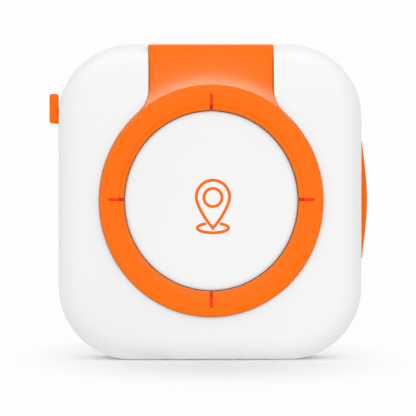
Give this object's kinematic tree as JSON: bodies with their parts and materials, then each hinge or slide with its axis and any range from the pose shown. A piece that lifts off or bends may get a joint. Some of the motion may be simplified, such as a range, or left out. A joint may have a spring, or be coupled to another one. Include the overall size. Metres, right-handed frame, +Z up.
{
  "type": "gps tracker",
  "caption": "Pocket GPS locator: rounded square white case, raised orange face ring with a strap over the top edge, sunk round push button and two side keys.",
  "frame": {"origin": "middle of the flat base that it stands on", "axes": "+X to the right seen from the front, +Z up, the front with its ring and button faces -Y"},
  "size_m": [0.0451, 0.0187, 0.0446],
  "materials": {
    "white_shell": "fine satin",
    "orange_ring": "satin",
    "red_mark": "smooth",
    "white_cap": "satin",
    "orange_key": "satin",
    "clear_silicone": "matte",
    "black_plastic": "satin",
    "switch_steel": "satin",
    "grey_rubber": "matte",
    "green_board": "solder mask",
    "cell_foil": "satin",
    "grey_foam": "matte foam",
    "antenna_ceramic": "fired ceramic",
    "shield_steel": "tinned",
    "card_plastic": "smooth",
    "gold_contact": "gold plated",
    "antenna_film": "film",
    "screw_steel": "satin",
    "brass_insert": "knurled"
  },
  "bodies": {
    "case": {"front_shell": "white_shell", "rear_shell": "white_shell", "face_ring": "orange_ring", "ring_marks": "red_mark", "button_switch": "switch_steel", "power_switch": "switch_steel", "side_switch": "switch_steel", "housing_gasket": "grey_rubber", "main_board": "green_board", "battery": "cell_foil", "battery_foam": "grey_foam", "gps_antenna": "antenna_ceramic", "cell_shield": "shield_steel", "processor_shield": "shield_steel", "card_holder": "shield_steel", "sim_card": "card_plastic", "speaker": "black_plastic", "microphone": "shield_steel", "vibration_motor": "shield_steel", "charge_contacts": "gold_contact", "cell_antenna": "antenna_film", "case_screws": "screw_steel", "threaded_inserts": "brass_insert"},
    "centre_button": {"button_cap": "white_cap", "button_pad": "clear_silicone", "button_plunger": "black_plastic"},
    "power_button": {"power_key": "orange_key", "power_plunger": "black_plastic"},
    "side_button": {"side_key": "orange_key", "side_plunger": "black_plastic"}
  },
  "joints": [
    {"name": "button_press", "type": "slide", "parent": "case", "child": "centre_button", "axis": [0, 1, 0], "range_m": [0, 0.0005], "stiffness_N_per_m": 3000, "springref_m": -0.0002},
    {"name": "power_press", "type": "slide", "parent": "case", "child": "power_button", "axis": [1, 0, 0], "range_m": [0, 0.0004], "stiffness_N_per_m": 3000, "springref_m": -0.0002},
    {"name": "side_press", "type": "slide", "parent": "case", "child": "side_button", "axis": [-1, 0, 0], "range_m": [0, 0.0004], "stiffness_N_per_m": 3000, "springref_m": -0.0002}
  ]
}
